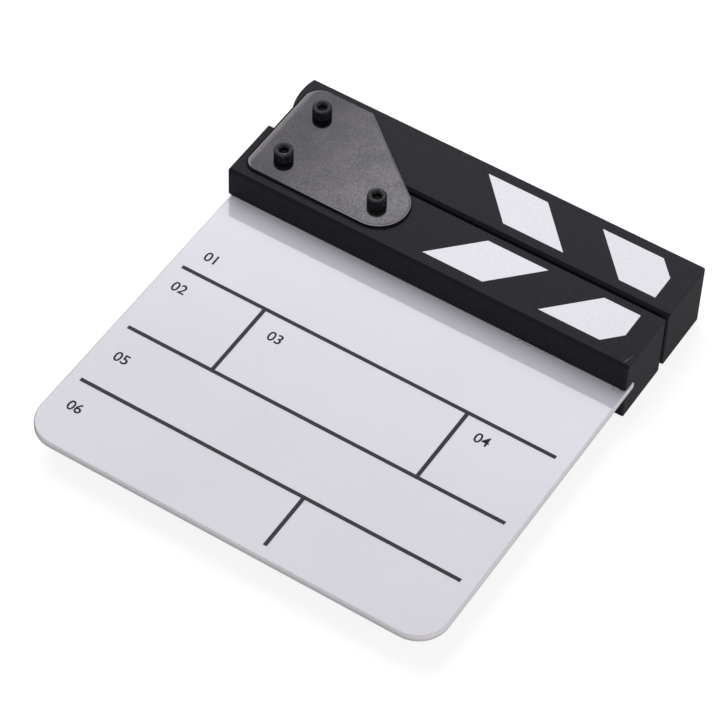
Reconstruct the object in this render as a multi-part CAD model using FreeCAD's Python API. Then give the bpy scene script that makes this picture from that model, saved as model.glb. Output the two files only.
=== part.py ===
import FreeCAD, Part
import math
import os

# Small film clapperboard, lying on its back with the written face up.
# +X runs along the sticks towards their free end, +Y from the board's front edge to the sticks,
# +Z out of the written face. The origin is the middle of the whole outline, on the surface below.
# All sizes are in millimetres.

# Wooden sticks
stick_length = 160.0
stick_depth = 26.0
stick_height = 26.6
stick_gap = 1.4
stick_chamfer = 1.0
stick_end_chamfer = 0.45
stick_back_corner = 0.9
stick_left_rounding = 0.9
stick_left_chamfer = 0.8
upper_back_chamfer = 0.6
lip_height = 12.6

# Rounded heel of the upper stick, which lets it swing past the lower one
heel_radius = 24.2
heel_inset = 0.5
heel_lift = 7.85
swing_gap = 0.3

# Acrylic board and the slot that holds it
board_thickness = 3.0
board_reach = 124.1
board_left_inset = 1.3
board_overhang = 0.45
board_corner_radius = 11.6
slot_depth = 6.0
bond_thickness = 0.15
bond_end = 0.4

# Printed rules on the board
rule_width = 1.45
ink_thickness = 0.08
rule_left_margin = 4.85
rule_right_margin = 5.65
first_rule_drop = 36.75
second_rule_drop = 69.05
third_rule_rise = 27.7
left_divider_inset = 38.95
right_divider_inset = 39.45
lower_divider_inset = 65.35
lower_divider_margin = 4.6

# Screw positions
hole_inset = 13.75
hole_pitch = 38.3
fixing_offset = 14.4
pivot_offset = 11.5

# Hinge plate
plate_thickness = 1.5
plate_left_margin = 10.65
plate_back_margin = 10.7
plate_front_margin = 10.6
plate_back_run = 16.1
plate_heel_radius = 7.0
plate_back_radius = 2.5
plate_tip_radius = 11.5
plate_front_radius = 5.0
plate_bevel_depth = 0.4
plate_bevel = 0.45
plate_left_bevel = 1.45

# Socket cap screws, size M4
screw_diameter = 4.0
screw_length = 25.0
screw_end_chamfer = 0.5
head_diameter = 7.0
head_height = 4.0
head_rounding = 0.9
head_relief = 0.2
knurl_depth = 0.14
knurl_count = 30
socket_width = 3.0
socket_depth = 2.0
socket_mouth_diameter = 4.4

# Nuts, washers and the bush of the pivot
hole_clearance = 0.15
running_clearance = 0.05
seat_clearance = 0.02
thread_clearance = 0.03
thread_stand_out = 0.8
nut_width = 7.0
nut_height = 3.2
nut_chamfer = 0.35
collar_diameter = 6.2
collar_height = 1.6
ring_diameter = 5.4
ring_height = 1.2
washer_diameter = 9.0
washer_thickness = 0.8
recess_clearance = 1.0
bush_diameter = 6.0
glide_diameter = 12.0
glide_thickness = 0.5
glide_rim_clearance = 0.3

# White stripes on the sticks. The pattern fills the run from the hinge plate's tip to the free end:
# its shares are bare stick before the first stripe, each stripe, and the bare stick between them.
stripe_thickness = 0.15
stripe_lean = 16.0
stripe_end_margin = 7.9
lead_share = 0.1750
white_share = 0.3290
black_share = 0.3021
lower_stripe_front_margin = 5.2
lower_stripe_gap_margin = 4.0
upper_stripe_gap_margin = 4.5
upper_stripe_back_margin = 4.6

# Places that follow from the sizes above
outline_width = stick_length + board_overhang
outline_depth = board_reach + 2 * stick_depth + stick_gap
left_end = -outline_width / 2
right_end = left_end + stick_length
board_front = -outline_depth / 2
lower_front = board_front + board_reach
lower_back = lower_front + stick_depth
upper_front = lower_back + stick_gap
upper_back = upper_front + stick_depth
upper_top = stick_height - swing_gap

board_top = stick_height - lip_height
board_bottom = board_top - board_thickness
board_left = left_end + board_left_inset
board_right = right_end + board_overhang
slot_top = board_top + bond_thickness
slot_end = lower_front + slot_depth
board_back = slot_end - bond_end

plate_top = stick_height + plate_thickness
screw_end = plate_top - screw_length
hole_left = left_end + hole_inset
hole_right = hole_left + hole_pitch
fixing_line = lower_front + fixing_offset
pivot_line = upper_front + pivot_offset

nut_foot = screw_end + thread_stand_out
fixing_seat = nut_foot + nut_height + washer_thickness
lock_nut_height = nut_height + collar_height
pivot_seat = nut_foot + lock_nut_height + washer_thickness + running_clearance
recess_radius = washer_diameter / 2 + recess_clearance
glide_floor = stick_height - glide_thickness - running_clearance

stripe_end = right_end - stripe_end_margin
plate_tip = hole_right + plate_tip_radius
stripe_run = stripe_end - plate_tip - stripe_lean
stripe_start = plate_tip + stripe_lean + lead_share * stripe_run
stripe_width = white_share * stripe_run
stripe_pitch = stripe_width + black_share * stripe_run

shank_radius = screw_diameter / 2
hole_radius = shank_radius + hole_clearance
thread_radius = shank_radius + thread_clearance


def vector(x, y, z=0.0):
    return FreeCAD.Vector(x, y, z)


def box(low, high):
    size = [b - a for a, b in zip(low, high)]
    return Part.makeBox(*size, vector(*low))


def cylinder(x, y, radius, low, high):
    return Part.makeCylinder(radius, high - low, vector(x, y, low))


def ring(x, y, outer, inner, low, high):
    return cylinder(x, y, outer, low, high).cut(cylinder(x, y, inner, low, high))


def prism(points, low, high):
    """Solid over a polygon of (x, y) points, from one height to another."""
    corners = [vector(x, y, low) for x, y in points]
    outline = Part.makePolygon(corners + corners[:1])
    return Part.Face(outline).extrude(vector(0, 0, high - low))


def hexagon(x, y, width):
    """Corners of a hexagon of the given width across its flats."""
    reach = width / 2 / math.cos(math.pi / 6)
    turns = [math.pi / 3 * k for k in range(6)]
    return [(x + reach * math.cos(a), y + reach * math.sin(a)) for a in turns]


def belt(circles, height):
    """Outline drawn tight round circles (x, y, radius), taken anticlockwise, at one height."""
    count = len(circles)
    sides = []
    for k in range(count):
        x0, y0, r0 = circles[k]
        x1, y1, r1 = circles[(k + 1) % count]
        run = math.hypot(x1 - x0, y1 - y0)
        normal = math.atan2(y1 - y0, x1 - x0) - math.acos((r0 - r1) / run)
        start = vector(x0 + r0 * math.cos(normal), y0 + r0 * math.sin(normal), height)
        end = vector(x1 + r1 * math.cos(normal), y1 + r1 * math.sin(normal), height)
        sides.append((normal, start, end))
    edges = []
    for k in range(count):
        normal, start, end = sides[k]
        edges.append(Part.makeLine(start, end))
        next_normal, next_start, next_end = sides[(k + 1) % count]
        x, y, radius = circles[(k + 1) % count]
        if radius > 0:
            middle = normal + ((next_normal - normal) % (2 * math.pi)) / 2
            crown = vector(x + radius * math.cos(middle), y + radius * math.sin(middle), height)
            edges.append(Part.Arc(end, crown, next_start).toShape())
    return Part.Wire(edges)


def stick_section(front, back, top, back_chamfer, slot=None):
    """Chamfered end section of a stick in the YZ plane at its left end, with the board's slot if given."""
    c = stick_chamfer
    points = [(front + c, top), (back - back_chamfer, top), (back, top - back_chamfer), (back, c)]
    points += [(back - c, 0), (front + c, 0), (front, c)]
    if slot:
        low, high, depth = slot
        points += [(front, low), (front + depth, low), (front + depth, high), (front, high)]
    points += [(front, top - c)]
    corners = [vector(left_end, y, z) for y, z in points]
    return Part.Face(Part.makePolygon(corners + corners[:1]))


def stick_plan(front, back, top):
    """Block as long as a stick, with its upright edges at the free end taken off."""
    c = stick_end_chamfer
    b = stick_back_corner
    points = [(left_end, front), (right_end - c, front), (right_end, front + c)]
    points += [(right_end, back - b), (right_end - b, back), (left_end, back)]
    return prism(points, 0, top)


def left_wedge(front, back, top):
    """What is planed off a stick along the upper edge of its left end."""
    c = stick_left_chamfer
    corners = [vector(left_end, front, top - c), vector(left_end + c, front, top), vector(left_end, front, top)]
    return Part.Face(Part.makePolygon(corners + corners[:1])).extrude(vector(0, back - front, 0))


def lower_stick():
    slot = (board_bottom, slot_top, slot_depth)
    section = stick_section(lower_front, lower_back, stick_height, stick_chamfer, slot)
    solid = section.extrude(vector(stick_length, 0, 0))
    plan = stick_plan(lower_front, lower_back, stick_height)
    left_edges = [e for e in plan.Edges if e.BoundBox.XMax < left_end + stick_chamfer]
    uprights = [e for e in left_edges if e.BoundBox.ZLength > stick_height / 2]
    solid = solid.common(plan.makeFillet(stick_left_rounding, uprights))
    solid = solid.cut(left_wedge(lower_front, lower_back, stick_height))
    for x in (hole_left, hole_right):
        solid = solid.cut(cylinder(x, fixing_line, hole_radius, 0, stick_height))
        solid = solid.cut(cylinder(x, fixing_line, recess_radius, 0, fixing_seat))
    return solid


def upper_stick():
    section = stick_section(upper_front, upper_back, upper_top, upper_back_chamfer)
    solid = section.extrude(vector(stick_length, 0, 0))
    solid = solid.common(stick_plan(upper_front, upper_back, upper_top))
    heel_x = left_end + heel_inset + heel_radius
    heel = cylinder(heel_x, pivot_line + heel_lift, heel_radius, 0, upper_top)
    arm = box((heel_x, upper_front, 0), (right_end, upper_back, upper_top))
    solid = solid.common(heel.fuse(arm))
    bush_bore = bush_diameter / 2 + seat_clearance
    glide_bore = glide_diameter / 2 + glide_rim_clearance
    solid = solid.cut(cylinder(hole_left, pivot_line, bush_bore, 0, upper_top))
    solid = solid.cut(cylinder(hole_left, pivot_line, recess_radius, 0, pivot_seat))
    solid = solid.cut(cylinder(hole_left, pivot_line, glide_bore, glide_floor, upper_top))
    return solid.removeSplitter()


def slate_board():
    r = board_corner_radius
    circles = [(board_left + r, board_front + r, r), (board_right - r, board_front + r, r)]
    circles += [(board_right, board_back, 0), (board_left, board_back, 0)]
    return Part.Face(belt(circles, board_bottom)).extrude(vector(0, 0, board_thickness))


def slot_adhesive():
    """Bond line above the board and behind its edge, inside the slot."""
    right = right_end - stick_end_chamfer
    over = box((board_left, lower_front, board_top), (right, slot_end, slot_top))
    behind = box((board_left, board_back, board_bottom), (right, slot_end, board_top))
    return over.fuse(behind).removeSplitter()


def printed_rules():
    left = board_left + rule_left_margin
    right = board_right - rule_right_margin
    first = lower_front - first_rule_drop
    second = lower_front - second_rule_drop
    third = board_front + third_rule_rise
    half = rule_width / 2
    bars = [(left, y - half, right, y + half) for y in (first, second, third)]
    for x in (board_left + left_divider_inset, board_right - right_divider_inset):
        bars.append((x - half, second, x + half, first))
    x = board_right - lower_divider_inset
    bars.append((x - half, board_front + lower_divider_margin, x + half, third))
    high = board_top + ink_thickness
    solids = [box((x0, y0, board_top), (x1, y1, high)) for x0, y0, x1, y1 in bars]
    return solids[0].multiFuse(solids[1:]).removeSplitter()


def plate_outline(left_inset, inset, height):
    """Outline of the hinge plate, drawn in by its bevel: one inset on the left and one elsewhere."""
    left = hole_left - plate_left_margin
    back = pivot_line + plate_back_margin - inset
    front = fixing_line - plate_front_margin + inset
    heel = plate_heel_radius - inset
    corner = plate_back_radius - inset
    tip = plate_tip_radius - inset
    toe = plate_front_radius - inset
    circles = [(left + left_inset + toe, front + toe, toe), (hole_right, front + tip, tip)]
    circles += [(hole_left + plate_back_run - inset - corner, back - corner, corner)]
    circles += [(left + left_inset + heel, back - heel, heel)]
    return belt(circles, height)


def hinge_plate():
    shoulder = plate_top - plate_bevel_depth
    body = Part.Face(plate_outline(0, 0, stick_height)).extrude(vector(0, 0, shoulder - stick_height))
    rim = plate_outline(0, 0, shoulder)
    face = plate_outline(plate_left_bevel, plate_bevel, plate_top)
    solid = body.fuse(Part.makeLoft([rim, face], True, True)).removeSplitter()
    for x, y in ((hole_left, fixing_line), (hole_right, fixing_line), (hole_left, pivot_line)):
        solid = solid.cut(cylinder(x, y, hole_radius, stick_height, plate_top))
    return solid


def cap_screw(x, y):
    """Socket cap screw with a knurled head, seated on the hinge plate."""
    top = plate_top + head_height
    radius = head_diameter / 2
    turns = [math.pi / knurl_count * k for k in range(2 * knurl_count)]
    reach = [radius - knurl_depth * (k % 2) for k in range(2 * knurl_count)]
    rim = [(x + r * math.cos(a), y + r * math.sin(a)) for r, a in zip(reach, turns)]
    knurl = prism(rim, plate_top, top)
    barrel = cylinder(x, y, radius + head_relief, plate_top, top)
    rounding = head_rounding + head_relief
    barrel = barrel.makeFillet(rounding, [e for e in barrel.Edges if e.BoundBox.ZMin > plate_top + 1])
    head = knurl.common(barrel)
    head = head.cut(prism(hexagon(x, y, socket_width), top - socket_depth, top))
    mouth = socket_mouth_diameter / 2 + head_relief
    foot = vector(x, y, top + head_relief - mouth)
    head = head.cut(Part.makeCone(0, mouth, mouth, foot))
    shank = cylinder(x, y, shank_radius, screw_end, plate_top)
    shank = shank.makeChamfer(screw_end_chamfer, [e for e in shank.Edges if e.BoundBox.ZMax < plate_top])
    return head.fuse(shank).removeSplitter()


def hex_body(x, y, low, high):
    """Hexagon of a nut with its corners turned off at both ends."""
    reach = nut_width / 2 / math.cos(math.pi / 6)
    barrel = cylinder(x, y, reach, low, high)
    barrel = barrel.makeChamfer(nut_chamfer, [e for e in barrel.Edges if e.Closed])
    return prism(hexagon(x, y, nut_width), low, high).common(barrel)


def fixing_nut(x, y):
    high = nut_foot + nut_height
    return hex_body(x, y, nut_foot, high).cut(cylinder(x, y, thread_radius, nut_foot, high))


def lock_nut(x, y):
    """Steel body of the pivot's lock nut: a hexagon with a collar that holds the nylon ring."""
    shoulder = nut_foot + collar_height
    high = nut_foot + lock_nut_height
    solid = hex_body(x, y, shoulder, high).fuse(cylinder(x, y, collar_diameter / 2, nut_foot, shoulder))
    solid = solid.cut(cylinder(x, y, thread_radius, nut_foot, high))
    return solid.cut(cylinder(x, y, ring_diameter / 2 + seat_clearance, nut_foot, nut_foot + ring_height))


def rear_washer(x, y, low):
    return ring(x, y, washer_diameter / 2, hole_radius, low, low + washer_thickness)


def stripe(index, gap_side, far_side, height):
    """Slanted white stripe on top of a stick, cut off short of the stick's free end."""
    start = stripe_start + index * stripe_pitch
    far = start - stripe_lean
    points = [(start, gap_side), (start + stripe_width, gap_side)]
    points += [(far + stripe_width, far_side), (far, far_side)]
    solid = prism(points, height, height + stripe_thickness)
    low = (left_end, min(gap_side, far_side), height)
    high = (stripe_end, max(gap_side, far_side), height + stripe_thickness)
    return solid.common(box(low, high))


def pieces():
    """Every piece of the clapperboard, by its node's name."""
    pivot = (hole_left, pivot_line)
    left = (hole_left, fixing_line)
    right = (hole_right, fixing_line)
    made = {}
    made["slate_board"] = slate_board()
    made["printed_rules"] = printed_rules()
    made["slot_adhesive"] = slot_adhesive()
    made["lower_stick"] = lower_stick()
    made["upper_stick"] = upper_stick()
    made["hinge_plate"] = hinge_plate()
    for side, place in (("left", left), ("right", right)):
        made["fixing_screw_" + side] = cap_screw(*place)
        made["fixing_washer_" + side] = rear_washer(*place, fixing_seat - washer_thickness)
        made["fixing_nut_" + side] = fixing_nut(*place)
    made["pivot_screw"] = cap_screw(*pivot)
    made["pivot_front_washer"] = ring(*pivot, glide_diameter / 2, hole_radius,
                                      stick_height - glide_thickness, stick_height)
    made["pivot_bush"] = ring(*pivot, bush_diameter / 2, shank_radius + running_clearance,
                              pivot_seat, glide_floor)
    made["pivot_rear_washer"] = rear_washer(*pivot, pivot_seat - running_clearance - washer_thickness)
    made["pivot_lock_nut"] = lock_nut(*pivot)
    made["pivot_nut_ring"] = ring(*pivot, ring_diameter / 2, thread_radius, nut_foot, nut_foot + ring_height)
    for index, place in enumerate(("inner", "outer")):
        made["lower_stripe_" + place] = stripe(index, lower_back - lower_stripe_gap_margin,
                                               lower_front + lower_stripe_front_margin, stick_height)
        made["upper_stripe_" + place] = stripe(index, upper_front + upper_stripe_gap_margin,
                                               upper_back - upper_stripe_back_margin, upper_top)
    return made


os.makedirs("parts", exist_ok=True)
for name, shape in pieces().items():
    shape.exportStep("parts/" + name + ".step")
    print(name, "solids", len(shape.Solids), "valid", shape.isValid(), "volume", round(shape.Volume, 2))
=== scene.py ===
# %% [markdown]
# # A small film clapperboard
# The solids of the clapperboard already exist: a ruled white board, two striped sticks, and the hinge that
# joins them. In this lesson we dress those solids. Each one keeps its place and its size, and gets a finish
# made of nodes. Four of them also get eased edges, and a few small pieces, such as numbers, are added.

# %% Load the solids
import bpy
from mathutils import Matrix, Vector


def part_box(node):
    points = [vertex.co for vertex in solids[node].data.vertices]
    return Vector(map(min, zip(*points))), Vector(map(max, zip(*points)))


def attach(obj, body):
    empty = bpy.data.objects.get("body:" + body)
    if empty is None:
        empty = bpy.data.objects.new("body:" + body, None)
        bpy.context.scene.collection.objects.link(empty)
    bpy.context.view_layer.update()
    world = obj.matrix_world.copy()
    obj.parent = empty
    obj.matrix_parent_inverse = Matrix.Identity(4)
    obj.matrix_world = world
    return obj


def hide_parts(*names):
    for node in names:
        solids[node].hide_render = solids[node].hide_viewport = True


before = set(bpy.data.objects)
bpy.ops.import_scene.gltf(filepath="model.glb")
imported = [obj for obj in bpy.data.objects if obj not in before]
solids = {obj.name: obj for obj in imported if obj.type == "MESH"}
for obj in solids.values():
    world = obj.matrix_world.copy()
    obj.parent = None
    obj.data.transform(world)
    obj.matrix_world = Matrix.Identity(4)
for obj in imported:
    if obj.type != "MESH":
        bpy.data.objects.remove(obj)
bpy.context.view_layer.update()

# %% [markdown]
# ## Units and colours
# The solids are in metres, but a maker thinks in millimetres, so sizes on the clapperboard are a number times
# `MM`. Colours are written as the hex values that a paint chart would give. A shader wants linear light, and
# one function turns the one into the other.

# %% Millimetres and paint-chart colours
import bpy
import bmesh
import math
from mathutils import Euler, Matrix, Vector

MM = 0.001


def tint(code):
    """Linear colour of an sRGB hex value."""
    parts = [int(code[k:k + 2], 16) / 255 for k in (0, 2, 4)]
    return [c / 12.92 if c <= 0.04045 else ((c + 0.055) / 1.055) ** 2.4 for c in parts] + [1.0]


print("mid grey 808080 is", round(tint("808080")[0], 3), "in linear light")

# %% [markdown]
# ## One way to add a node
# Every finish below is a small tree of nodes. We could click them together or write three lines for each, but
# one function that adds a node, sets it up and links it keeps the trees readable. Some sockets of a node have
# the same name, so they go by number. Those of the Map Range and Mix nodes get names of their own here.

# %% Nodes
# A Map Range turns values between FROM and TO into values between LOW and HIGH.
FROM, TO, LOW, HIGH = 1, 2, 3, 4
# A Mix goes by its SHARE from the FIRST value to the SECOND, or from the colour UNDER to the colour OVER.
SHARE, FIRST, SECOND, UNDER, OVER = 0, 2, 3, 6, 7


def add(tree, kind, inputs=None, stops=(), **settings):
    """Adds a shader node with its settings. A value in inputs is set on its socket. A socket in inputs, or
    the first output that a node has in use, is linked to it. Stops are the places and colours of a ramp."""
    made = tree.nodes.new("ShaderNode" + kind)
    for name, value in settings.items():
        setattr(made, name, value)
    for key, value in (inputs or {}).items():
        if isinstance(value, bpy.types.Node):
            value = next(socket for socket in value.outputs if socket.enabled)
        if isinstance(value, bpy.types.NodeSocket):
            tree.links.new(value, made.inputs[key])
        else:
            made.inputs[key].default_value = value
    for index, (position, code) in enumerate(stops):
        made.color_ramp.elements[index].position = position
        made.color_ramp.elements[index].color = tint(code)
    return made


def per(size):
    """Texture scale that makes one feature of a pattern this many millimetres wide."""
    return 1 / (size * MM)


print("a pattern of 0.5 mm needs a scale of", per(0.5))

# %% [markdown]
# ## Start and end of a finish
# Every finish starts from the object's own coordinates. We could unwrap the pieces instead, but object
# coordinates stay with a piece when it moves, and a real size in millimetres is easy to set in them. Every
# finish ends in a Principled shader, because one such shader can be plastic, paint or metal.

# %% Start and end of a finish


def empty_tree(owner):
    """The node tree of a material or a world, with nothing in it yet."""
    owner.use_nodes = True
    owner.node_tree.nodes.clear()
    return owner.node_tree


def start_finish(name):
    """A new material with its tree and its object coordinates."""
    material = bpy.data.materials.new(name)
    tree = empty_tree(material)
    return material, tree, add(tree, "TexCoord").outputs["Object"]


def end_finish(material, inputs):
    """Adds the shader of a finish with these inputs, and joins it to the output."""
    tree = material.node_tree
    shader = add(tree, "BsdfPrincipled", inputs)
    add(tree, "OutputMaterial", {"Surface": shader})
    print("made", material.name, "with", len(tree.nodes), "nodes")


print("materials so far:", len(bpy.data.materials))

# %% [markdown]
# ## The board: white cast acrylic
# The board is a 3 mm sheet of cast acrylic. Its faces keep the gloss of the glass plates it was cast between,
# so they mirror the stick next to them. Fields that were written on and wiped keep a trace of the ink, so
# the white is a touch greyer there than in the strip by the stick. The sheet also shows some unevenness, and
# dust. A Voronoi pattern with a small threshold makes good dust, because each cell has its own random colour
# and we can let only some of the cells show their speck.

# %% Finish: white cast acrylic, the faces
acrylic, tree, place = start_finish("white_cast_acrylic")
board_low, board_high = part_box("slate_board")
clean_strip = board_high.y - 10 * MM
wiped_fields = board_high.y - 80 * MM
speck_radius = 0.03  # in cells of the pattern
empty_cells = 0.62  # share of the cells without a speck
dust_cover = 0.35

spot = add(tree, "SeparateXYZ", {0: place})
cloud = add(tree, "TexNoise", {"Vector": place, "Scale": per(45), "Detail": 3.0})
sheet = add(tree, "ValToRGB", {"Fac": cloud}, stops=((0.3, "cfccd7"), (0.7, "d4d1dc")))
ghosts = add(tree, "MapRange", {"Value": spot.outputs["Y"], FROM: clean_strip, TO: wiped_fields,
                                LOW: 0.0, HIGH: 0.2})
wiped = add(tree, "Mix", {SHARE: ghosts, UNDER: sheet, OVER: tint("94929b")}, data_type="RGBA")
cells = add(tree, "TexVoronoi", {"Vector": place, "Scale": per(7)})
speck = add(tree, "Math", {0: cells.outputs["Distance"], 1: speck_radius}, operation="LESS_THAN")
lot = add(tree, "SeparateColor", {"Color": cells.outputs["Color"]})
chosen = add(tree, "Math", {0: lot.outputs["Red"], 1: empty_cells}, operation="GREATER_THAN")
dust_and_sheen = add(tree, "Math", {0: speck, 1: chosen}, operation="MULTIPLY")
dust_share = add(tree, "Math", {0: dust_and_sheen, 1: dust_cover}, operation="MULTIPLY")
with_dust_and_sheen = add(tree, "Mix", {SHARE: dust_share, UNDER: wiped, OVER: tint("77757a")}, data_type="RGBA")
print("board in mm:", [round(side / MM, 2) for side in board_high - board_low])

# %% [markdown]
# ## The board's edges
# The edges were sawn and scraped, so they are half matt, and a cleaner white because light that enters
# through the face leaves there. They are painted darker towards the lower arris and on the left edge, as
# painted shade where they turn away from the light. We could give the edges a material of their own, but a
# mask from the normal also fades over the rounded arris.

# %% Finish: white cast acrylic, the edges
shade_start = board_high.z - 0.6 * MM
shade_full = board_low.z + 0.2 * MM
sawn_roughness = 0.6

facing = add(tree, "SeparateXYZ", {0: place.node.outputs["Normal"]})
levelness = add(tree, "Math", {0: facing.outputs["Z"]}, operation="ABSOLUTE")
sawn = add(tree, "MapRange", {"Value": levelness, FROM: 0.96, TO: 0.45})
# Painted shade: the edges get darker towards the lower arris and on the left-facing edge.
painted_shade_low = add(tree, "MapRange", {"Value": spot.outputs["Z"], FROM: shade_start, TO: shade_full})
painted_side_light = add(tree, "MapRange", {"Value": facing.outputs["X"], FROM: -0.3, TO: -0.6})
lit_edge_with_shade = add(tree, "Mix", {SHARE: painted_shade_low, UNDER: tint("fbf6fb"), OVER: tint("c3bdc4")}, data_type="RGBA")
left_edge_shaded = add(tree, "Mix", {SHARE: painted_side_light, UNDER: lit_edge_with_shade, OVER: tint("a59fa6")}, data_type="RGBA")
edged = add(tree, "Mix", {SHARE: sawn, UNDER: with_dust_and_sheen, OVER: left_edge_shaded}, data_type="RGBA")
smear = add(tree, "TexNoise", {"Vector": place, "Scale": per(14), "Detail": 4.0})
gloss = add(tree, "MapRange", {"Value": smear, LOW: 0.03, HIGH: 0.075})
rough = add(tree, "Mix", {SHARE: sawn, FIRST: gloss, SECOND: sawn_roughness}, data_type="FLOAT")
end_finish(acrylic, {"Base Color": edged, "Roughness": rough, "IOR": 1.49})

# %% [markdown]
# ## The sticks: matt black paint on wood
# Both sticks are square wooden bars, sprayed matt black. Paint that flat scatters nearly all of the light
# that it doesn't swallow, so it gets a high roughness and little specular. What gives it away as paint on
# wood is its tooth: a fine pebble from the spray, and a faint run of grain under it, along the stick.

# %% Finish: matt black paint, the coat
paint, tree, place = start_finish("matt_black_painted_wood")
grain_squeeze = 0.04
tooth_share = 0.8

along = add(tree, "Mapping", {"Vector": place, "Scale": (grain_squeeze, 1.0, 1.0)})
# Grain and spray tooth are really a tenth or two of a millimetre wide, drawn coarser here so that they show.
grain = add(tree, "TexNoise", {"Vector": along, "Scale": per(0.7), "Detail": 4.0, "Roughness": 0.6})
tooth = add(tree, "TexNoise", {"Vector": place, "Scale": per(0.55), "Detail": 2.0})
mixed = add(tree, "Mix", {SHARE: tooth_share, FIRST: grain, SECOND: tooth}, data_type="FLOAT")
coat = add(tree, "ValToRGB", {"Fac": mixed}, stops=((0.36, "222126"), (0.68, "2f2e33")))
matt = add(tree, "MapRange", {"Value": tooth, LOW: 0.52, HIGH: 0.66})
pebble = add(tree, "Bump", {"Height": mixed, "Strength": 0.5, "Distance": 0.06 * MM})
print("grain is drawn out", round(1 / grain_squeeze), "times along the stick")

# %% [markdown]
# ## Painted shade on the arrises
# The arrises and their chamfers are painted darker, as painted shade: turned away from the soft box above,
# they get less of the sheen that lights the level faces. The Bevel node bends normals near an edge, so where
# its normal and the true one disagree we are near an arris, and a face that is neither level nor upright is a
# chamfer. A noise makes the shade uneven.

# %% Finish: matt black paint, painted shade on the arrises


def agreement(tree, reach, samples):
    """How well the bent and the true normal agree: 1 on open faces, and less within reach of an edge."""
    bent = add(tree, "Bevel", {"Radius": reach}, samples=samples)
    true_normal = add(tree, "NewGeometry").outputs["Normal"]
    return add(tree, "VectorMath", {0: bent, 1: true_normal}, operation="DOT_PRODUCT")


arris_reach = 0.5 * MM
agree = agreement(tree, arris_reach, samples=6)
arris = add(tree, "MapRange", {"Value": agree, FROM: 0.995, TO: 0.90, LOW: 0.0, HIGH: 0.6})
facing = add(tree, "SeparateXYZ", {0: place.node.outputs["Normal"]})
levelness = add(tree, "Math", {0: facing.outputs["Z"]}, operation="ABSOLUTE")
off_level = add(tree, "MapRange", {"Value": levelness, FROM: 0.97, TO: 0.88})
off_plumb = add(tree, "MapRange", {"Value": levelness, FROM: 0.12, TO: 0.35})
chamfer = add(tree, "Math", {0: off_level, 1: off_plumb}, operation="MULTIPLY")
painted_edge_shading = add(tree, "Math", {0: arris, 1: chamfer}, operation="MAXIMUM")
shade_blotches = add(tree, "TexNoise", {"Vector": place, "Scale": per(3.5), "Detail": 6.0, "Roughness": 0.7})
uneven = add(tree, "MapRange", {"Value": shade_blotches, FROM: 0.3, TO: 0.6, LOW: 0.7, HIGH: 1.0})
edge_shade = add(tree, "Math", {0: painted_edge_shading, 1: uneven}, operation="MULTIPLY")
# Painted shade: the arrises and chamfers are darkened where they miss the sheen from above.
painted_edges = add(tree, "Mix", {SHARE: edge_shade, UNDER: coat, OVER: tint("1d1c20")}, data_type="RGBA")
# The painted shade reaches this far from an arris.
print("wear reaches", arris_reach / MM, "mm from an arris")

# %% [markdown]
# ## Painted sheen and a scuff
# The level faces are painted a trace lighter, more so on the clapper, as a painted sheen of the soft box
# above. The lower stick has one small scuff by its free corner. We could paint it on a picture, but a Mapping
# node can move the pattern's origin there and turn it. A noise makes the line stray, the tooth breaks it up,
# and one band for each axis cuts it to size.

# %% Finish: matt black paint, painted sheen and a scuff
stick_low, stick_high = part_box("lower_stick")
sheen_full = stick_high.y + 20 * MM
scuff_spot = (stick_high.x - 2.05 * MM, stick_low.y + 3.05 * MM, stick_high.z)
scuff_turn = (0, 0, math.radians(70))
scuff_stray = (1.2 * MM,) * 3
# How far from its middle the scuff has faded out, and how far it is still full, in millimetres.
scuff_bands = {"X": (2.6, 1.4), "Y": (0.3, 0.08), "Z": (1.2, 0.8)}

spot = add(tree, "SeparateXYZ", {0: place})
# Painted sheen: the level faces are lifted towards grey, more towards the clapper.
sheen_slope = add(tree, "MapRange", {"Value": spot.outputs["Y"], FROM: stick_low.y, TO: sheen_full,
                                 LOW: 0.02, HIGH: 0.036})
level_face = add(tree, "MapRange", {"Value": facing.outputs["Z"], FROM: 0.9, TO: 0.99})
dust_and_sheen = add(tree, "Math", {0: sheen_slope, 1: level_face}, operation="MULTIPLY")
with_dust_and_sheen = add(tree, "Mix", {SHARE: dust_and_sheen, UNDER: painted_edges, OVER: tint("9a999e")}, data_type="RGBA")
wander = add(tree, "TexNoise", {"Vector": place, "Scale": per(1.6), "Detail": 2.0})
drift = add(tree, "VectorMath", {0: wander.outputs["Color"], 1: (0.5, 0.5, 0.5)}, operation="SUBTRACT")
strayed = add(tree, "VectorMath", {0: drift, 1: scuff_stray, 2: place}, operation="MULTIPLY_ADD")
local = add(tree, "Mapping", {"Vector": strayed, "Location": scuff_spot, "Rotation": scuff_turn},
            vector_type="TEXTURE")
apart = add(tree, "SeparateXYZ", {0: add(tree, "VectorMath", {0: local}, operation="ABSOLUTE")})
scuff = add(tree, "MapRange", {"Value": tooth, FROM: 0.42, TO: 0.56})
for axis, (faded, full) in scuff_bands.items():
    band = add(tree, "MapRange", {"Value": apart.outputs[axis], FROM: faded * MM, TO: full * MM})
    scuff = add(tree, "Math", {0: scuff, 1: band}, operation="MULTIPLY")
marked = add(tree, "Mix", {SHARE: scuff, UNDER: with_dust_and_sheen, OVER: tint("7d7c80")}, data_type="RGBA")
end_finish(paint, {"Base Color": marked, "Roughness": matt, "Normal": pebble, "Specular IOR Level": 0.03})

# %% [markdown]
# ## The stripes: white vinyl film
# The stripes are cut from self-adhesive vinyl. The film is a clean white with a soft eggshell surface, and it
# takes on the tooth of the paint below, which shows as a fine grey grain. One noise can drive the colour, the
# roughness and the relief, because all three come from the same pebbles.

# %% Finish: white vinyl film
vinyl, tree, place = start_finish("white_vinyl_film")
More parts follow.
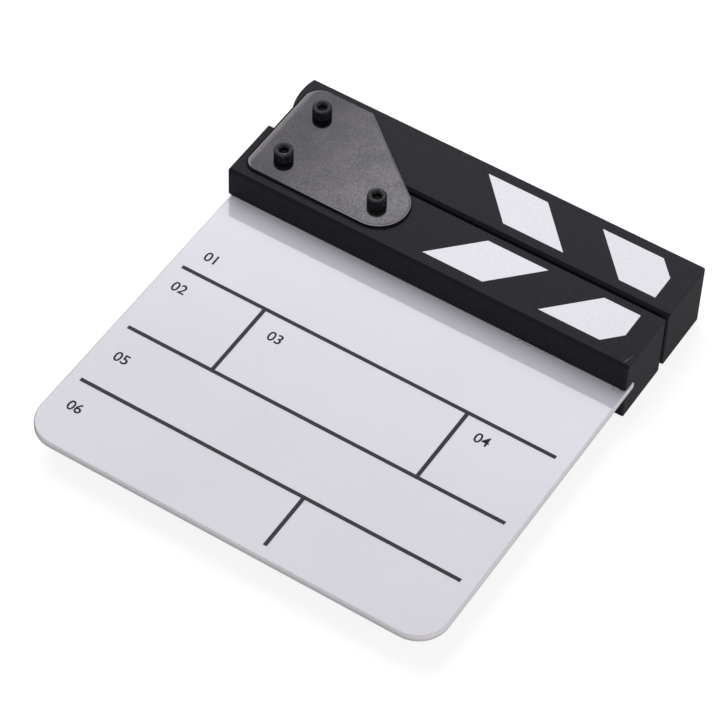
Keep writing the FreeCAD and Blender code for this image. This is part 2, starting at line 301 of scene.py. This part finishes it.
# The tooth that comes through is as fine as the spray, and is drawn coarser here so that it shows.
grit = add(tree, "TexNoise", {"Vector": place, "Scale": per(0.7), "Detail": 3.0, "Roughness": 0.6})
film = add(tree, "ValToRGB", {"Fac": grit}, stops=((0.32, "dddce5"), (0.6, "e9e8f0")))
eggshell = add(tree, "MapRange", {"Value": grit, LOW: 0.38, HIGH: 0.5})
telegraph = add(tree, "Bump", {"Height": grit, "Strength": 0.2, "Distance": 0.04 * MM})
end_finish(vinyl, {"Base Color": film, "Roughness": eggshell, "Normal": telegraph})

# %% [markdown]
# ## The print: screen ink
# Rules and numbers are screen printed. The ink dries matt, so it stays dark where the acrylic around it
# mirrors the light. A mesh leaves its ink a little uneven, and we add that with a fine noise.

# %% Finish: black screen ink
ink, tree, place = start_finish("black_screen_ink")
# A screen's mesh is really about 0.1 mm wide, drawn coarser here so that it shows.
weave = add(tree, "TexNoise", {"Vector": place, "Scale": per(0.8), "Detail": 3.0})
film = add(tree, "ValToRGB", {"Fac": weave}, stops=((0.0, "1b1920"), (1.0, "27252f")))
dry = add(tree, "MapRange", {"Value": weave, LOW: 0.5, HIGH: 0.65})
end_finish(ink, {"Base Color": film, "Roughness": dry, "Specular IOR Level": 0.22})

# %% [markdown]
# ## The hinge plate: blackened steel
# The plate is cut from sheet steel, sanded across, blackened in a salt bath and waxed. The black is part of
# the steel, so it takes its brightness from what it mirrors: grey where it mirrors a lamp, and nearly black
# where it mirrors a screw. It isn't wholly a metal, because the wax scatters a little light of its own. A
# noise drawn out across the sticks gives the sanding marks, and a broad one the clouds of the bath. A slope
# along the plate paints it lighter towards the tip, a painted reflection of the soft box. Beside the rim
# there lies a dark line of painted shade, and the Bevel node finds it as it found the sticks' arrises.

# %% Finish: blackened steel, the black
blackened, tree, place = start_finish("blackened_steel")
plate_low, plate_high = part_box("hinge_plate")
tip_light_start = plate_low.x + 13 * MM
tip_light_full = plate_high.x - 16 * MM
rim_shade_reach = 1.3 * MM
mark_squeeze = 0.55
cloud_share = 0.3

spot = add(tree, "SeparateXYZ", {0: place})
across = add(tree, "Mapping", {"Vector": place, "Scale": (1.0, mark_squeeze, 1.0)})
# Sanding marks are really finer than 0.1 mm, drawn coarser here so that they show.
marks = add(tree, "TexNoise", {"Vector": across, "Scale": per(0.65), "Detail": 3.0, "Roughness": 0.7})
cloud = add(tree, "TexNoise", {"Vector": place, "Scale": per(9), "Detail": 2.0})
both = add(tree, "Mix", {SHARE: cloud_share, FIRST: marks, SECOND: cloud}, data_type="FLOAT")
# Painted reflection: the plate is painted lighter towards its tip.
painted_side_light = add(tree, "MapRange", {"Value": spot.outputs["X"], FROM: tip_light_start, TO: tip_light_full})
base_black = add(tree, "ValToRGB", {"Fac": both}, stops=((0.38, "1c1b1f"), (0.62, "29272c")))
painted_lighter_black = add(tree, "ValToRGB", {"Fac": both}, stops=((0.38, "2a292c"), (0.62, "3f3d41")))
black = add(tree, "Mix", {SHARE: painted_side_light, UNDER: base_black, OVER: painted_lighter_black}, data_type="RGBA")
agree = agreement(tree, rim_shade_reach, samples=8)
near = add(tree, "MapRange", {"Value": agree, FROM: 0.9998, TO: 0.99, LOW: 0.0, HIGH: 0.8})
# Painted shade: a dark line just inside the rim, stronger towards the tip.
painted_rim_shade = add(tree, "Math", {0: near, 1: painted_side_light}, operation="MULTIPLY")
with_rim_shade = add(tree, "Mix", {SHARE: painted_rim_shade, UNDER: black, OVER: tint("1d1c1e")}, data_type="RGBA")
print("plate in mm:", [round(side / MM, 2) for side in plate_high - plate_low])

# %% [markdown]
# ## The plate's rim and left bevel
# The rim of the plate is painted pale, most of all at the tip, and so is its sloped left edge: painted
# highlights where the rounded rim and the bevel catch the light. The foot of every bevel gets a dull black
# line of painted shade, which we find by its height and, on the left, by its distance from the edge.

# %% Finish: blackened steel, painted highlight and shade on the rim and the left bevel
bevel_light_start = plate_low.x + 3.05 * MM
bevel_light_full = plate_low.x + 1.55 * MM
line_low, line_high = plate_high.z - 0.26 * MM, plate_high.z - 0.18 * MM
line_left, line_right = plate_low.x + 0.7 * MM, plate_low.x + 0.9 * MM
line_roughness = 0.8

facing = add(tree, "SeparateXYZ", {0: place.node.outputs["Normal"]})
# Painted highlight: the rim is painted pale, most at the tip.
rim = add(tree, "MapRange", {"Value": facing.outputs["Z"], FROM: 0.97, TO: 0.88})
above = add(tree, "MapRange", {"Value": facing.outputs["Z"], FROM: 0.3, TO: 0.5})
use = add(tree, "MapRange", {"Value": painted_side_light, LOW: 0.15, HIGH: 0.55})
edge = add(tree, "Math", {0: rim, 1: above}, operation="MULTIPLY")
painted_edges = add(tree, "Math", {0: edge, 1: use}, operation="MULTIPLY")
# Painted highlight: the sloped left edge is painted pale.
sloped = add(tree, "MapRange", {"Value": facing.outputs["X"], FROM: -0.12, TO: -0.24, LOW: 0.0, HIGH: 0.6})
bevel_light_ramp = add(tree, "MapRange", {"Value": spot.outputs["X"], FROM: bevel_light_start, TO: bevel_light_full,
                                  LOW: 0.0, HIGH: 0.06})
bevelled = add(tree, "Math", {0: sloped, 1: above}, operation="MULTIPLY")
painted_bevel_light = add(tree, "Math", {0: bevelled, 1: bevel_light_ramp}, operation="MAXIMUM")
painted_edge_shading = add(tree, "Math", {0: painted_edges, 1: painted_bevel_light}, operation="MAXIMUM")
# Painted shade: a dull black line at the foot of every bevel.
raised = add(tree, "MapRange", {"Value": spot.outputs["Z"], FROM: line_low, TO: line_high})
inside = add(tree, "MapRange", {"Value": spot.outputs["X"], FROM: line_left, TO: line_right})
painted_shade_line = add(tree, "Math", {0: raised, 1: inside}, operation="MINIMUM")
highlight_share = add(tree, "Math", {0: painted_edge_shading, 1: painted_shade_line}, operation="MULTIPLY")
with_shade_line = add(tree, "Mix", {SHARE: painted_shade_line, UNDER: tint("0c0b0e"), OVER: with_rim_shade}, data_type="RGBA")
with_highlights = add(tree, "Mix", {SHARE: highlight_share, UNDER: with_shade_line, OVER: tint("b3adb0")}, data_type="RGBA")
waxed = add(tree, "MapRange", {"Value": both, FROM: 0.35, TO: 0.65, LOW: 0.1, HIGH: 0.16})
dulled = add(tree, "Mix", {SHARE: painted_shade_line, FIRST: line_roughness, SECOND: waxed}, data_type="FLOAT")
peel = add(tree, "Bump", {"Height": marks, "Strength": 0.1, "Distance": 0.02 * MM})
end_finish(blackened, {"Base Color": with_highlights, "Roughness": dulled, "Normal": peel, "Metallic": 0.8})

# %% [markdown]
# ## Screws: black oxide steel
# Socket cap screws come blackened in a hot salt bath, and oiled. Their oxide is thicker than the plate's, a
# dark skin that hides the metal and only has the soft shine of its oil. The crests of the knurl and the rim
# are painted brighter, and a few dots glint: painted highlights. The socket and the gaps between the ribs are
# painted darker as painted shade, where the Ambient Occlusion node finds hollows.

# %% Finish: black oxide steel
oxide, tree, place = start_finish("black_oxide_steel")
crest_reach = 0.12 * MM
hollow_reach = 2.5 * MM
glint_radius = 0.28  # in cells of the pattern
hollow_roughness = 0.8

bath = add(tree, "TexNoise", {"Vector": place, "Scale": per(1.2), "Detail": 4.0})
dark = add(tree, "ValToRGB", {"Fac": bath}, stops=((0.35, "131216"), (0.65, "1f1e23")))
agree = agreement(tree, crest_reach, samples=6)
# Painted highlight: the crests of the knurl and the rim are painted brighter.
crest_highlight = add(tree, "MapRange", {"Value": agree, FROM: 0.995, TO: 0.9, LOW: 0.0, HIGH: 0.2})
# The glints are painted highlights, small dots drawn coarse enough that a few show.
cells = add(tree, "TexVoronoi", {"Vector": place, "Scale": per(0.8)})
grain = add(tree, "Math", {0: cells.outputs["Distance"], 1: glint_radius}, operation="LESS_THAN")
lot = add(tree, "SeparateColor", {"Color": cells.outputs["Color"]})
chosen = add(tree, "MapRange", {"Value": lot.outputs["Red"], FROM: 0.65, TO: 0.95, LOW: 0.0, HIGH: 0.75})
glint = add(tree, "Math", {0: grain, 1: chosen}, operation="MULTIPLY")
painted_highlight_share = add(tree, "Math", {0: glint, 1: crest_highlight}, operation="MAXIMUM")
with_painted_highlights = add(tree, "Mix", {SHARE: painted_highlight_share, UNDER: dark, OVER: tint("8d8a8e")}, data_type="RGBA")
# Painted shade: the socket and the gaps between the ribs are painted darker in the hollows.
hollow = add(tree, "AmbientOcclusion", {"Distance": hollow_reach}, samples=8, only_local=True)
painted_hollow_shade = add(tree, "MapRange", {"Value": hollow.outputs["AO"], FROM: 0.7, TO: 0.98, LOW: 1.0, HIGH: 0.0})
with_hollow_shade = add(tree, "Mix", {SHARE: painted_hollow_shade, UNDER: with_painted_highlights, OVER: tint("131215")}, data_type="RGBA")
film = add(tree, "MapRange", {"Value": bath, LOW: 0.3, HIGH: 0.45})
oiled = add(tree, "Mix", {SHARE: painted_hollow_shade, FIRST: film, SECOND: hollow_roughness}, data_type="FLOAT")
end_finish(oxide, {"Base Color": with_hollow_shade, "Roughness": oiled, "Specular IOR Level": 0.16})

# %% [markdown]
# ## Nuts and washers: zinc plated steel
# The hidden fastenings are plain zinc plated stock. Zinc is a cool, slightly cloudy grey, with a trace of
# blue from its passivation. One soft noise gives the clouds, and the duller patches with them.

# %% Finish: zinc plated steel
zinc, tree, place = start_finish("zinc_plated_steel")
spangle = add(tree, "TexNoise", {"Vector": place, "Scale": per(2.5), "Detail": 4.0})
plating = add(tree, "ValToRGB", {"Fac": spangle}, stops=((0.0, "9da3ab"), (1.0, "c9ccd0")))
dull = add(tree, "MapRange", {"Value": spangle, LOW: 0.28, HIGH: 0.42})
end_finish(zinc, {"Base Color": plating, "Roughness": dull, "Metallic": 1.0})

# %% [markdown]
# ## Bush: turned brass, and glides: natural nylon
# The bush was parted off a brass tube on a lathe, which leaves fine rings round its axis. A Wave texture in
# bands along the axis draws them. The washer that the stick glides on, and the ring inside the lock nut, are
# uncoloured nylon, a milky plastic that lets a little light in, so its shader gets some subsurface.

# %% Finish: turned brass
brass, tree, place = start_finish("turned_brass")
# The rings of a fine cut are really about 0.1 mm apart, drawn coarser here so that they show.
waves = add(tree, "TexWave", {"Vector": place, "Scale": per(1.3), "Distortion": 1.0}, bands_direction="Z")
rings = waves.outputs["Fac"]
yellow = add(tree, "ValToRGB", {"Fac": rings}, stops=((0.0, "b4914c"), (1.0, "cfae68")))
cut = add(tree, "MapRange", {"Value": rings, LOW: 0.22, HIGH: 0.34})
end_finish(brass, {"Base Color": yellow, "Roughness": cut, "Metallic": 1.0})

# %% Finish: natural nylon
nylon, tree, place = start_finish("natural_nylon")
haze = add(tree, "TexNoise", {"Vector": place, "Scale": per(3), "Detail": 3.0})
milk = add(tree, "ValToRGB", {"Fac": haze}, stops=((0.0, "dcd8cb"), (1.0, "ebe8dd")))
wax = add(tree, "MapRange", {"Value": haze, LOW: 0.4, HIGH: 0.5})
end_finish(nylon, {
    "Base Color": milk, "Roughness": wax, "IOR": 1.53,
    "Subsurface Weight": 0.2, "Subsurface Radius": (1.0, 1.0, 0.9), "Subsurface Scale": 0.5 * MM,
})

# %% [markdown]
# ## The bond: clear adhesive
# The board is glued into its slot with a clear adhesive. Where it was squeezed out and wiped it leaves glossy
# strands at the lip. Most of the light goes through it, so its shader transmits more than it scatters.

# %% Finish: clear adhesive
glue, tree, place = start_finish("clear_adhesive")
ripple = add(tree, "TexNoise", {"Vector": place, "Scale": per(1.5), "Detail": 3.0})
clear = add(tree, "ValToRGB", {"Fac": ripple}, stops=((0.0, "c9c8c8"), (1.0, "e6e5e4")))
wet = add(tree, "MapRange", {"Value": ripple, LOW: 0.08, HIGH: 0.2})
end_finish(glue, {"Base Color": clear, "Roughness": wet, "Transmission Weight": 0.7, "IOR": 1.47})

# %% [markdown]
# ## Finishes go onto the solids
# Print, stripes and fastenings have the right shape in the CAD already. We could copy each of them and dress
# the copy, but a finish can simply go into the solid's own material slot, and the mesh stays as it is.

# %% Dress the solids
dress = {
    "printed_rules": ink, "slot_adhesive": glue, "pivot_bush": brass,
    "pivot_nut_ring": nylon, "pivot_front_washer": nylon, "pivot_rear_washer": zinc, "pivot_lock_nut": zinc,
    "fixing_washer_left": zinc, "fixing_washer_right": zinc,
    "fixing_nut_left": zinc, "fixing_nut_right": zinc,
    "fixing_screw_left": oxide, "fixing_screw_right": oxide, "pivot_screw": oxide,
    "lower_stripe_inner": vinyl, "lower_stripe_outer": vinyl,
    "upper_stripe_inner": vinyl, "upper_stripe_outer": vinyl,
}
for name, finish in dress.items():
    solids[name].material_slots[0].material = finish
print("dressed", len(dress), "solids")

# %% [markdown]
# ## Eased edges
# A sawn and painted stick never has a razor edge, and it is the eased edge that catches the light. The CAD
# solid has the chamfers, but sharp lines between its faces. We could add fine fillets to the CAD, which makes
# heavy solids. Instead we copy the mesh, join its loose triangles into whole faces, and let a Bevel modifier
# round every line that is sharper than 15 degrees, which leaves the fine facets of its arcs alone.

# %% Shapes and objects
same_point = 0.002 * MM
same_plane = math.radians(0.5)


def put(name, data):
    """A new object in the scene, with this data."""
    made = bpy.data.objects.new(name, data)
    bpy.context.scene.collection.objects.link(made)
    return made


def shape_from(mesh):
    """A working copy of a mesh."""
    shape = bmesh.new()
    shape.from_mesh(mesh)
    return shape


def mesh_from(name, shape):
    """A new mesh with the shape of a working copy, which is freed."""
    mesh = bpy.data.meshes.new(name)
    shape.to_mesh(mesh)
    shape.free()
    return mesh


print("points closer than", same_point / MM, "mm are joined")

# %% Copies with eased edges
sharp = math.radians(15)


def eased(name, piece_name, radius, finish, body):
    """Copy of a solid with its sharp edges rounded, which stands for that solid."""
    shape = shape_from(solids[name].data)
    bmesh.ops.remove_doubles(shape, verts=shape.verts, dist=same_point)
    bmesh.ops.dissolve_limit(shape, angle_limit=same_plane, verts=shape.verts, edges=shape.edges)
    mesh = mesh_from(piece_name, shape)
    mesh.materials.append(finish)
    mesh.shade_smooth()
    piece = put(piece_name, mesh)
    ease = piece.modifiers.new("eased edges", "BEVEL")
    ease.width = radius
    ease.segments = 3
    ease.limit_method = "ANGLE"
    ease.angle_limit = sharp
    level = piece.modifiers.new("level faces", "WEIGHTED_NORMAL")
    level.weight = 80
    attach(piece, body)
    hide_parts(name)
    print(piece_name, "faces before easing:", len(mesh.polygons))


eased("slate_board", "board_sheet", 0.6 * MM, acrylic, "base")
eased("lower_stick", "lower_bar", 0.3 * MM, paint, "base")
eased("upper_stick", "upper_bar", 0.3 * MM, paint, "clapper")
eased("hinge_plate", "plate_sheet", 0.15 * MM, blackened, "base")

# %% [markdown]
# ## Field numbers
# Each field of the board has a small printed number at its upper left. Text starts as a curve, so we make it
# a mesh, measure it, and bring it to size on the board with one matrix. It has the thickness of a print, so
# it lies on the acrylic and doesn't flicker in it.

# %% From a curve to faces


def shape_of_curve(name, curve):
    """A working copy of the faces that a curve or a text makes."""
    drawn = put(name, curve)
    mesh = bpy.data.meshes.new_from_object(drawn.evaluated_get(bpy.context.evaluated_depsgraph_get()))
    bpy.data.objects.remove(drawn)
    shape = shape_from(mesh)
    bpy.data.meshes.remove(mesh)
    return shape


print("curves so far:", len(bpy.data.curves))

# %% A printed number
number_height = 4.2 * MM
ink_height = 0.04 * MM
boldness = 0.012  # in units of the letters, before they are brought to size


def field_number(digits, left, drop):
    """A printed number on the board. Its left side is measured in millimetres from the left end of the lower
    stick, and its foot from the front of the stick."""
    text = bpy.data.curves.new("number", "FONT")
    text.body = digits
    text.offset = boldness
    shape = shape_of_curve("number", text)
    low = min(v.co.y for v in shape.verts)
    high = max(v.co.y for v in shape.verts)
    start = min(v.co.x for v in shape.verts)
    size = number_height / (high - low)
    corner = Vector((stick_low.x + left * MM, stick_low.y - drop * MM, board_high.z))
    move = Matrix.Translation(corner) @ Matrix.Scale(size, 4) @ Matrix.Translation((-start, -low, 0))
    bmesh.ops.transform(shape, matrix=move, verts=shape.verts)
    made = bmesh.ops.extrude_face_region(shape, geom=shape.faces[:])
    raised = [v for v in made["geom"] if isinstance(v, bmesh.types.BMVert)]
    bmesh.ops.translate(shape, verts=raised, vec=(0, 0, ink_height))
    bmesh.ops.recalc_face_normals(shape, faces=shape.faces)
    piece_name = "field_number_" + digits
    mesh = mesh_from(piece_name, shape)
    mesh.materials.append(ink)
    piece = put(piece_name, mesh)
    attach(piece, "base")
    print(piece_name, "faces:", len(mesh.polygons))


print("numbers are", round(number_height / MM, 2), "mm high")

# %% The six numbers
fields = {
    "01": (9.8, 30.2), "02": (8.0, 47.4), "03": (47.4, 47.6),
    "04": (128.0, 46.0), "05": (9.6, 83.6), "06": (8.8, 109.2),
}
for digits, (left, drop) in fields.items():
    field_number(digits, left, drop)

# %% [markdown]
# ## Squeezed-out adhesive
# A little adhesive came out of the slot at the lip and set in strands on the board. A strand is a curve with
# its own thickness at every point, made a mesh. Curves are quicker than pushing vertices for such a shape,
# and the points are easy to read: along from the stick's free end, out from its front, up from the board,
# and thickness.

# %% A strand of adhesive
strand_radius = 0.5 * MM  # of a point with a thickness of 1


def glue_strand(piece_name, points):
    """A strand of adhesive through points of (along, out, up, thickness), the first three in millimetres."""
    curve = bpy.data.curves.new(piece_name, "CURVE")
    curve.dimensions = "3D"
    curve.bevel_depth = strand_radius
    curve.bevel_resolution = 2
    curve.resolution_u = 6
    curve.use_fill_caps = True
    line = curve.splines.new("NURBS")
    line.points.add(len(points) - 1)
    for point, (along, out, up, thickness) in zip(line.points, points):
        point.co = (stick_high.x - along * MM, stick_low.y - out * MM, board_high.z + up * MM, 1.0)
        point.radius = thickness
    line.order_u = 3
    line.use_endpoint_u = True
    shape = shape_of_curve(piece_name, curve)
    bmesh.ops.remove_doubles(shape, verts=shape.verts, dist=same_point)
    bmesh.ops.recalc_face_normals(shape, faces=shape.faces)
    mesh = mesh_from(piece_name, shape)
    mesh.materials.append(glue)
    mesh.shade_smooth()
    piece = put(piece_name, mesh)
    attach(piece, "base")
    print(piece_name, "faces:", len(mesh.polygons))


print("a thickness of 1 is", round(2 * strand_radius / MM, 2), "mm")

# %% The three strands
glue_strand("glue_bead_long", [
    (49, 0.1, 0.1, 0.2), (46, 0.2, 0.15, 0.5), (42, 0.15, 0.12, 0.35), (38, 0.3, 0.15, 0.6),
    (34, 0.2, 0.12, 0.4), (30, 0.25, 0.15, 0.5), (25, 0.15, 0.1, 0.3), (21, 0.1, 0.08, 0.15),
])
glue_strand("glue_bead_thread", [
    (44, 0.5, 0.08, 0.2), (41, 0.9, 0.1, 0.25), (37, 0.8, 0.1, 0.3), (33, 1.1, 0.1, 0.25),
    (29, 0.7, 0.08, 0.2), (26, 0.3, 0.08, 0.15),
])
glue_strand("glue_loop", [
    (4.6, 0.1, 0.1, 0.25), (4.2, 1.0, 0.12, 0.35), (3.0, 1.8, 0.12, 0.35), (1.6, 1.9, 0.12, 0.3),
    (0.8, 1.2, 0.15, 0.4), (0.9, 0.4, 0.2, 0.5), (1.3, 0.1, 0.2, 0.4),
])

# %% [markdown]
# ## Camera
# The camera stands where the straight edges of the photographed clapperboard say it stood: in front, to the
# right, and well above, with a long lens. We could aim it at a point of the board, but the photograph is also
# tilted a little, and three angles hold the tilt too. The place is in metres, and the angles in degrees.

# %% Camera
camera_spot = (0.370678, -0.625609, 0.896518)
camera_angles = (39.4112, -1.4976, 32.6450)

lens = bpy.data.cameras.new("camera")
lens.sensor_width = 36.0
lens.lens = 170.38
lens.clip_start = 0.05
camera = put("camera", lens)
turn = Euler([math.radians(angle) for angle in camera_angles]).to_matrix().to_4x4()
camera.matrix_world = Matrix.Translation(camera_spot) @ turn
bpy.context.scene.camera = camera
print("camera at", [round(c, 3) for c in camera.location])

# %% [markdown]
# ## Light
# A large soft box hangs above, behind and to the left, just where the board mirrors it into the camera. It
# gives the board its even gloss, the dark mirror band under the stick, and the grey of the black plate. A
# second one on the right, a little in front, lights the edges of the board.

# %% Lamps


def soft_box(name, spot, aim, width, depth, radiance):
    """A lamp of the given sides, in metres, that faces a point. Its radiance is a multiple of white."""
    lamp = bpy.data.lights.new(name, "AREA")
    lamp.shape = "RECTANGLE"
    lamp.size = width
    lamp.size_y = depth
    lamp.energy = radiance * math.pi * width * depth
    holder = put(name, lamp)
    way = Vector(aim) - Vector(spot)
    holder.matrix_world = Matrix.Translation(spot) @ way.to_track_quat("-Z", "Y").to_matrix().to_4x4()
    print(name, "power", round(lamp.energy, 2), "W")


soft_box("soft_box_above", spot=(-0.53, 0.58, 1.2), aim=(-0.53, 0.58, 0),
         width=0.95, depth=1.3, radiance=4.05)
soft_box("soft_box_right", spot=(1.2, -0.55, 0.5), aim=(0, 0, 0),
         width=0.7, depth=0.7, radiance=3.4)

# %% [markdown]
# ## World
# The world fills in the rest of the light. To the camera, and in mirrors and clear things, it is as white as
# the background of the photograph. As a lamp it is much weaker, so that the shadows keep their depth. The
# Light Path node tells the two apart.

# %% World
fill_light = 0.27
backdrop_light = 1.0


def looked_at(tree):
    """One for rays from the camera, straight, mirrored or through something clear, and zero for others."""
    rays = add(tree, "LightPath")
    straight = rays.outputs["Is Camera Ray"]
    mirrored = rays.outputs["Is Glossy Ray"]
    seen = add(tree, "Math", {0: straight, 1: mirrored}, operation="MAXIMUM")
    return add(tree, "Math", {0: seen, 1: rays.outputs["Is Transmission Ray"]}, operation="MAXIMUM")


world = bpy.data.worlds.new("studio")
bpy.context.scene.world = world
tree = empty_tree(world)
level = add(tree, "MapRange", {"Value": looked_at(tree), LOW: fill_light, HIGH: backdrop_light})
sky = add(tree, "Background", {"Color": tint("ffffff"), "Strength": level})
add(tree, "OutputWorld", {"Surface": sky})
print("world gives", fill_light, "as a lamp and", backdrop_light, "to the camera")

# %% [markdown]
# ## Floor
# The floor is a plain white sheet. A white floor under soft light is really a light grey. We could turn up
# the lamps, but that would bleach the board. Instead the floor has light of its own where it is looked at,
# straight or in a mirror, which lifts it to white and leaves the clapperboard's shadow on it.

# %% Floor
floor_reach = 6.0
floor_lift = 0.84

shape = bmesh.new()
bmesh.ops.create_grid(shape, x_segments=1, y_segments=1, size=floor_reach)
mesh = mesh_from("floor", shape)
floor = put("floor", mesh)
sheet = bpy.data.materials.new("floor_paper")
tree = empty_tree(sheet)
paper = add(tree, "BsdfDiffuse", {"Color": tint("c4c4c4")})
shade = add(tree, "BsdfDiffuse", {"Color": tint("909090")})
lift = add(tree, "Emission", {"Color": tint("ffffff"), "Strength": floor_lift})
lit = add(tree, "AddShader", {0: shade, 1: lift})
look = add(tree, "MixShader", {0: looked_at(tree), 1: paper, 2: lit})
add(tree, "OutputMaterial", {"Surface": look})
mesh.materials.append(sheet)
print("floor in m:", [round(side, 2) for side in floor.dimensions])

# %% [markdown]
# ## Picture settings
# The view transform is Standard, so a colour comes out as it was written.

# %% Settings and the end
bpy.context.scene.view_settings.view_transform = "Standard"
